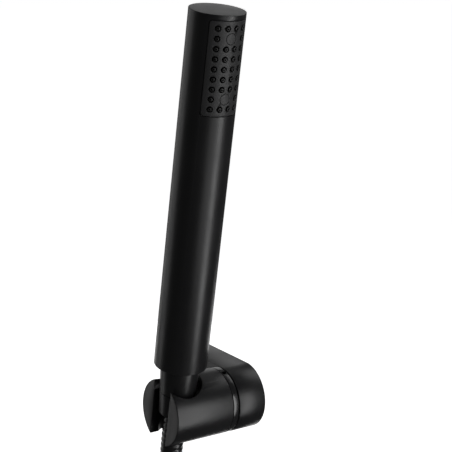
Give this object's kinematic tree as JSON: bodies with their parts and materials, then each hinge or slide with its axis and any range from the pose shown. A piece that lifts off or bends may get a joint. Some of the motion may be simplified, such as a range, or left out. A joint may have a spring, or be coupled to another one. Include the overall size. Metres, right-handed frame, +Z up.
{
  "type": "handheld shower head",
  "caption": "Slim stick hand shower with an inset nozzle panel, leaning in a swivelling cylindrical wall holder, with its ribbed hose coiled below.",
  "frame": {"origin": "middle of the wall bracket's back face, in the wall plane", "axes": "+Z up, +Y into the wall, the room is towards -Y, the holder points to -X"},
  "size_m": [0.21, 0.1348, 0.5759],
  "materials": {
    "satin_black": "satin black paint",
    "face_black": "fine grained black plastic",
    "soft_rubber": "matt silicone",
    "gloss_black": "half gloss black",
    "seal_rubber": "smooth",
    "strap_rubber": "matt",
    "steel": "zinc plated",
    "grey_plastic": "moulded",
    "liner_plastic": "moulded",
    "raw_brass": "turned",
    "hose_black": "ribbed, half gloss"
  },
  "bodies": {
    "bracket": {"bracket_body": "satin_black", "wall_plate": "steel", "wall_screws": "steel", "wall_plugs": "grey_plastic", "plate_grub_screw": "steel", "swivel_spindle": "raw_brass", "swivel_screw": "steel", "friction_washer": "seal_rubber", "spring_washer": "steel"},
    "holder": {"swivel_holder": "satin_black", "socket_liner": "liner_plastic", "trim_ring": "gloss_black", "tilt_set_screw": "steel"},
    "hose_end": {"cone_sleeve": "satin_black", "hose_tail": "raw_brass", "tail_o_ring": "seal_rubber", "tail_ferrule": "steel", "hose_lead": "hose_black", "hose_bend": "hose_black"},
    "handset": {"handle_tube": "satin_black", "end_cap": "satin_black", "spray_face": "face_black", "nozzle_mat": "soft_rubber", "screw_covers": "face_black", "face_screws": "steel", "water_chamber": "grey_plastic", "water_pipe": "grey_plastic", "pipe_o_rings": "seal_rubber", "inlet_fitting": "raw_brass", "inlet_o_ring": "seal_rubber", "flow_regulator": "grey_plastic", "filter_washer": "seal_rubber", "cone_nut": "satin_black"},
    "hose": {"hose_drop": "hose_black", "hose_coil": "hose_black", "coil_ties": "strap_rubber", "hose_end_run": "hose_black", "outlet_ferrule": "satin_black", "outlet_tail": "raw_brass", "outlet_washer": "seal_rubber"},
    "outlet_nut": {"outlet_nut": "satin_black"}
  },
  "joints": [
    {"name": "holder_tilt", "type": "hinge", "parent": "bracket", "child": "holder", "pos_m": [-0.034, -0.048, 0], "axis": [1, 0, 0], "range_deg": [-15, 30]},
    {"name": "handset_lift", "type": "slide", "parent": "holder", "child": "hose_end", "axis": [0, -0.1564, 0.9877], "range_m": [0, 0.03]},
    {"name": "handset_turn", "type": "hinge", "parent": "hose_end", "child": "handset", "pos_m": [-0.0432, -0.048, 0], "axis": [0, -0.1564, 0.9877], "continuous": true},
    {"name": "hose_hang", "type": "hinge", "parent": "hose_end", "child": "hose", "pos_m": [-0.0432, -0.041, -0.054], "axis": [1, 0, 0], "range_deg": [-30, 15]},
    {"name": "outlet_nut_spin", "type": "hinge", "parent": "hose", "child": "outlet_nut", "pos_m": [0.0165, -0.063, -0.18], "axis": [0, 0, 1], "continuous": true}
  ],
  "couplings": [
    {"joint": "hose_hang", "follows": "holder_tilt", "ratio": -1}
  ]
}
